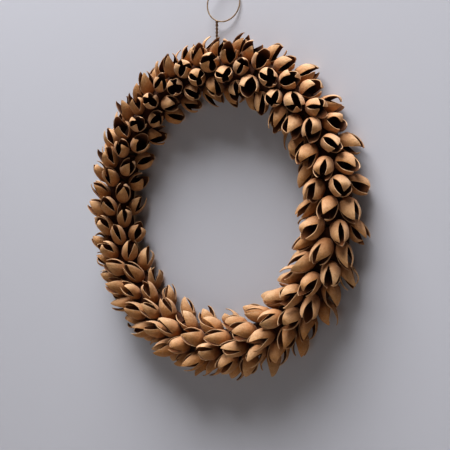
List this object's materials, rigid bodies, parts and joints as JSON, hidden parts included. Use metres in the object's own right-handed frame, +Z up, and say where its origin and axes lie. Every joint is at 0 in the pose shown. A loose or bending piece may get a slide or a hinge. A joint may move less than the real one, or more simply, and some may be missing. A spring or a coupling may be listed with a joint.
{
  "type": "dried fruit wreath",
  "caption": "Round wall wreath of dried, woody, split seed capsules packed in bunches on a flat-backed base ring, with a wire hanging loop.",
  "frame": {"origin": "the point inside the top of the hanging loop where the nail bears", "axes": "+Z up as it hangs, +Y from the front towards the wall, so the front faces -Y, +X to the right as seen from the front"},
  "size_m": [0.4096, 0.0576, 0.4707],
  "materials": {
    "capsule": "matt, powdery, dried",
    "twine": "matt, wound round and round",
    "covered_wire": "matt, paper-covered wire"
  },
  "bodies": {
    "root": {"base_ring": "twine", "capsule_bunch_01": "capsule", "capsule_bunch_02": "capsule", "capsule_bunch_03": "capsule", "capsule_bunch_04": "capsule", "capsule_bunch_05": "capsule", "capsule_bunch_06": "capsule", "capsule_bunch_07": "capsule", "capsule_bunch_08": "capsule", "capsule_bunch_09": "capsule", "capsule_bunch_10": "capsule", "capsule_bunch_11": "capsule", "capsule_bunch_12": "capsule", "capsule_bunch_13": "capsule", "capsule_bunch_14": "capsule", "capsule_bunch_15": "capsule", "capsule_bunch_16": "capsule", "capsule_bunch_17": "capsule", "capsule_bunch_18": "capsule", "capsule_bunch_19": "capsule", "capsule_bunch_20": "capsule", "capsule_bunch_21": "capsule", "capsule_bunch_22": "capsule", "capsule_bunch_23": "capsule", "capsule_bunch_24": "capsule", "capsule_bunch_25": "capsule", "hanging_loop": "covered_wire"}
  },
  "joints": []
}
